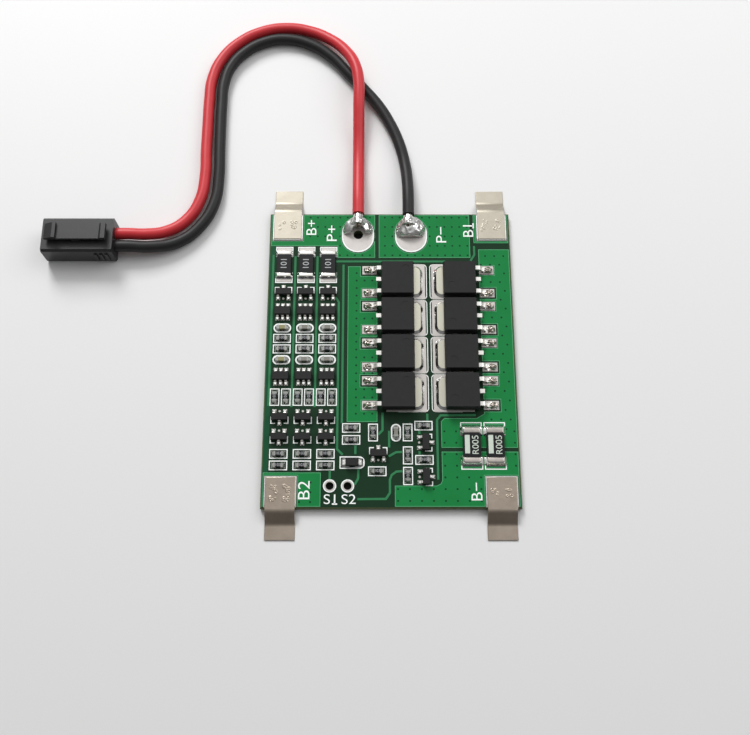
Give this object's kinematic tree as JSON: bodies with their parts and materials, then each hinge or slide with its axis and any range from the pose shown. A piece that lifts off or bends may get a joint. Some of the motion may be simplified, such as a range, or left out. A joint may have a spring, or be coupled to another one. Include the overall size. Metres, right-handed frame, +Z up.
{
  "type": "battery management board",
  "caption": "Green battery management board with power transistors, nickel cell strips and two output leads ending in a plug.",
  "frame": {"origin": "middle of the board's underside, which lies on the floor", "axes": "+X to the right and +Y to the back, where the two leads leave, seen with the lead pads at the back; +Z up out of the parts' side"},
  "size_m": [0.0865, 0.1042, 0.0067],
  "materials": {
    "green_board": "glass-fibre laminate under glossy green solder mask",
    "green_copper": "copper under glossy green solder mask",
    "solder": "bright tin solder, slightly uneven",
    "nickel": "rolled nickel, satin",
    "bare_strands": "tinned copper strands",
    "red_insulation": "smooth soft red insulation",
    "black_insulation": "smooth soft black insulation",
    "black_plug": "moulded black nylon",
    "plug_contact_metal": "tinned brass",
    "black_moulding": "matte black epoxy moulding",
    "tinned_frame": "tinned copper",
    "tinned_end": "tinned metal",
    "black_resistor": "dark coat on ceramic",
    "tan_ceramic": "bare brown ceramic"
  },
  "bodies": {
    "root": {"circuit_board": "green_board", "copper_areas": "green_copper", "copper_tracks": "green_copper", "solder_pads": "solder", "lead_pads": "solder", "switch_rings": "solder", "strip_solder": "solder", "p_plus_solder": "solder", "p_minus_solder": "solder", "b_plus_strip": "nickel", "b1_strip": "nickel", "b2_strip": "nickel", "b_minus_strip": "nickel", "p_plus_strands": "bare_strands", "p_minus_strands": "bare_strands", "red_lead": "red_insulation", "black_lead": "black_insulation", "plug_housing": "black_plug", "plug_contacts": "plug_contact_metal", "monitor_bodies": "black_moulding", "signal_transistor_bodies": "black_moulding", "diode_body": "black_moulding", "transistor_body_1": "black_moulding", "transistor_body_2": "black_moulding", "transistor_body_3": "black_moulding", "transistor_body_4": "black_moulding", "transistor_body_5": "black_moulding", "transistor_body_6": "black_moulding", "transistor_body_7": "black_moulding", "transistor_body_8": "black_moulding", "transistor_frame_1": "tinned_frame", "transistor_frame_2": "tinned_frame", "transistor_frame_3": "tinned_frame", "transistor_frame_4": "tinned_frame", "transistor_frame_5": "tinned_frame", "transistor_frame_6": "tinned_frame", "transistor_frame_7": "tinned_frame", "transistor_frame_8": "tinned_frame", "monitor_pins": "tinned_end", "signal_transistor_pins": "tinned_end", "diode_leads": "tinned_end", "balance_resistor_ends": "tinned_end", "shunt_ends": "tinned_end", "chip_resistor_ends": "tinned_end", "chip_capacitor_ends": "tinned_end", "balance_resistor_bodies": "black_resistor", "shunt_bodies": "black_resistor", "chip_resistor_bodies": "black_resistor", "chip_capacitor_bodies": "tan_ceramic"}
  },
  "joints": []
}
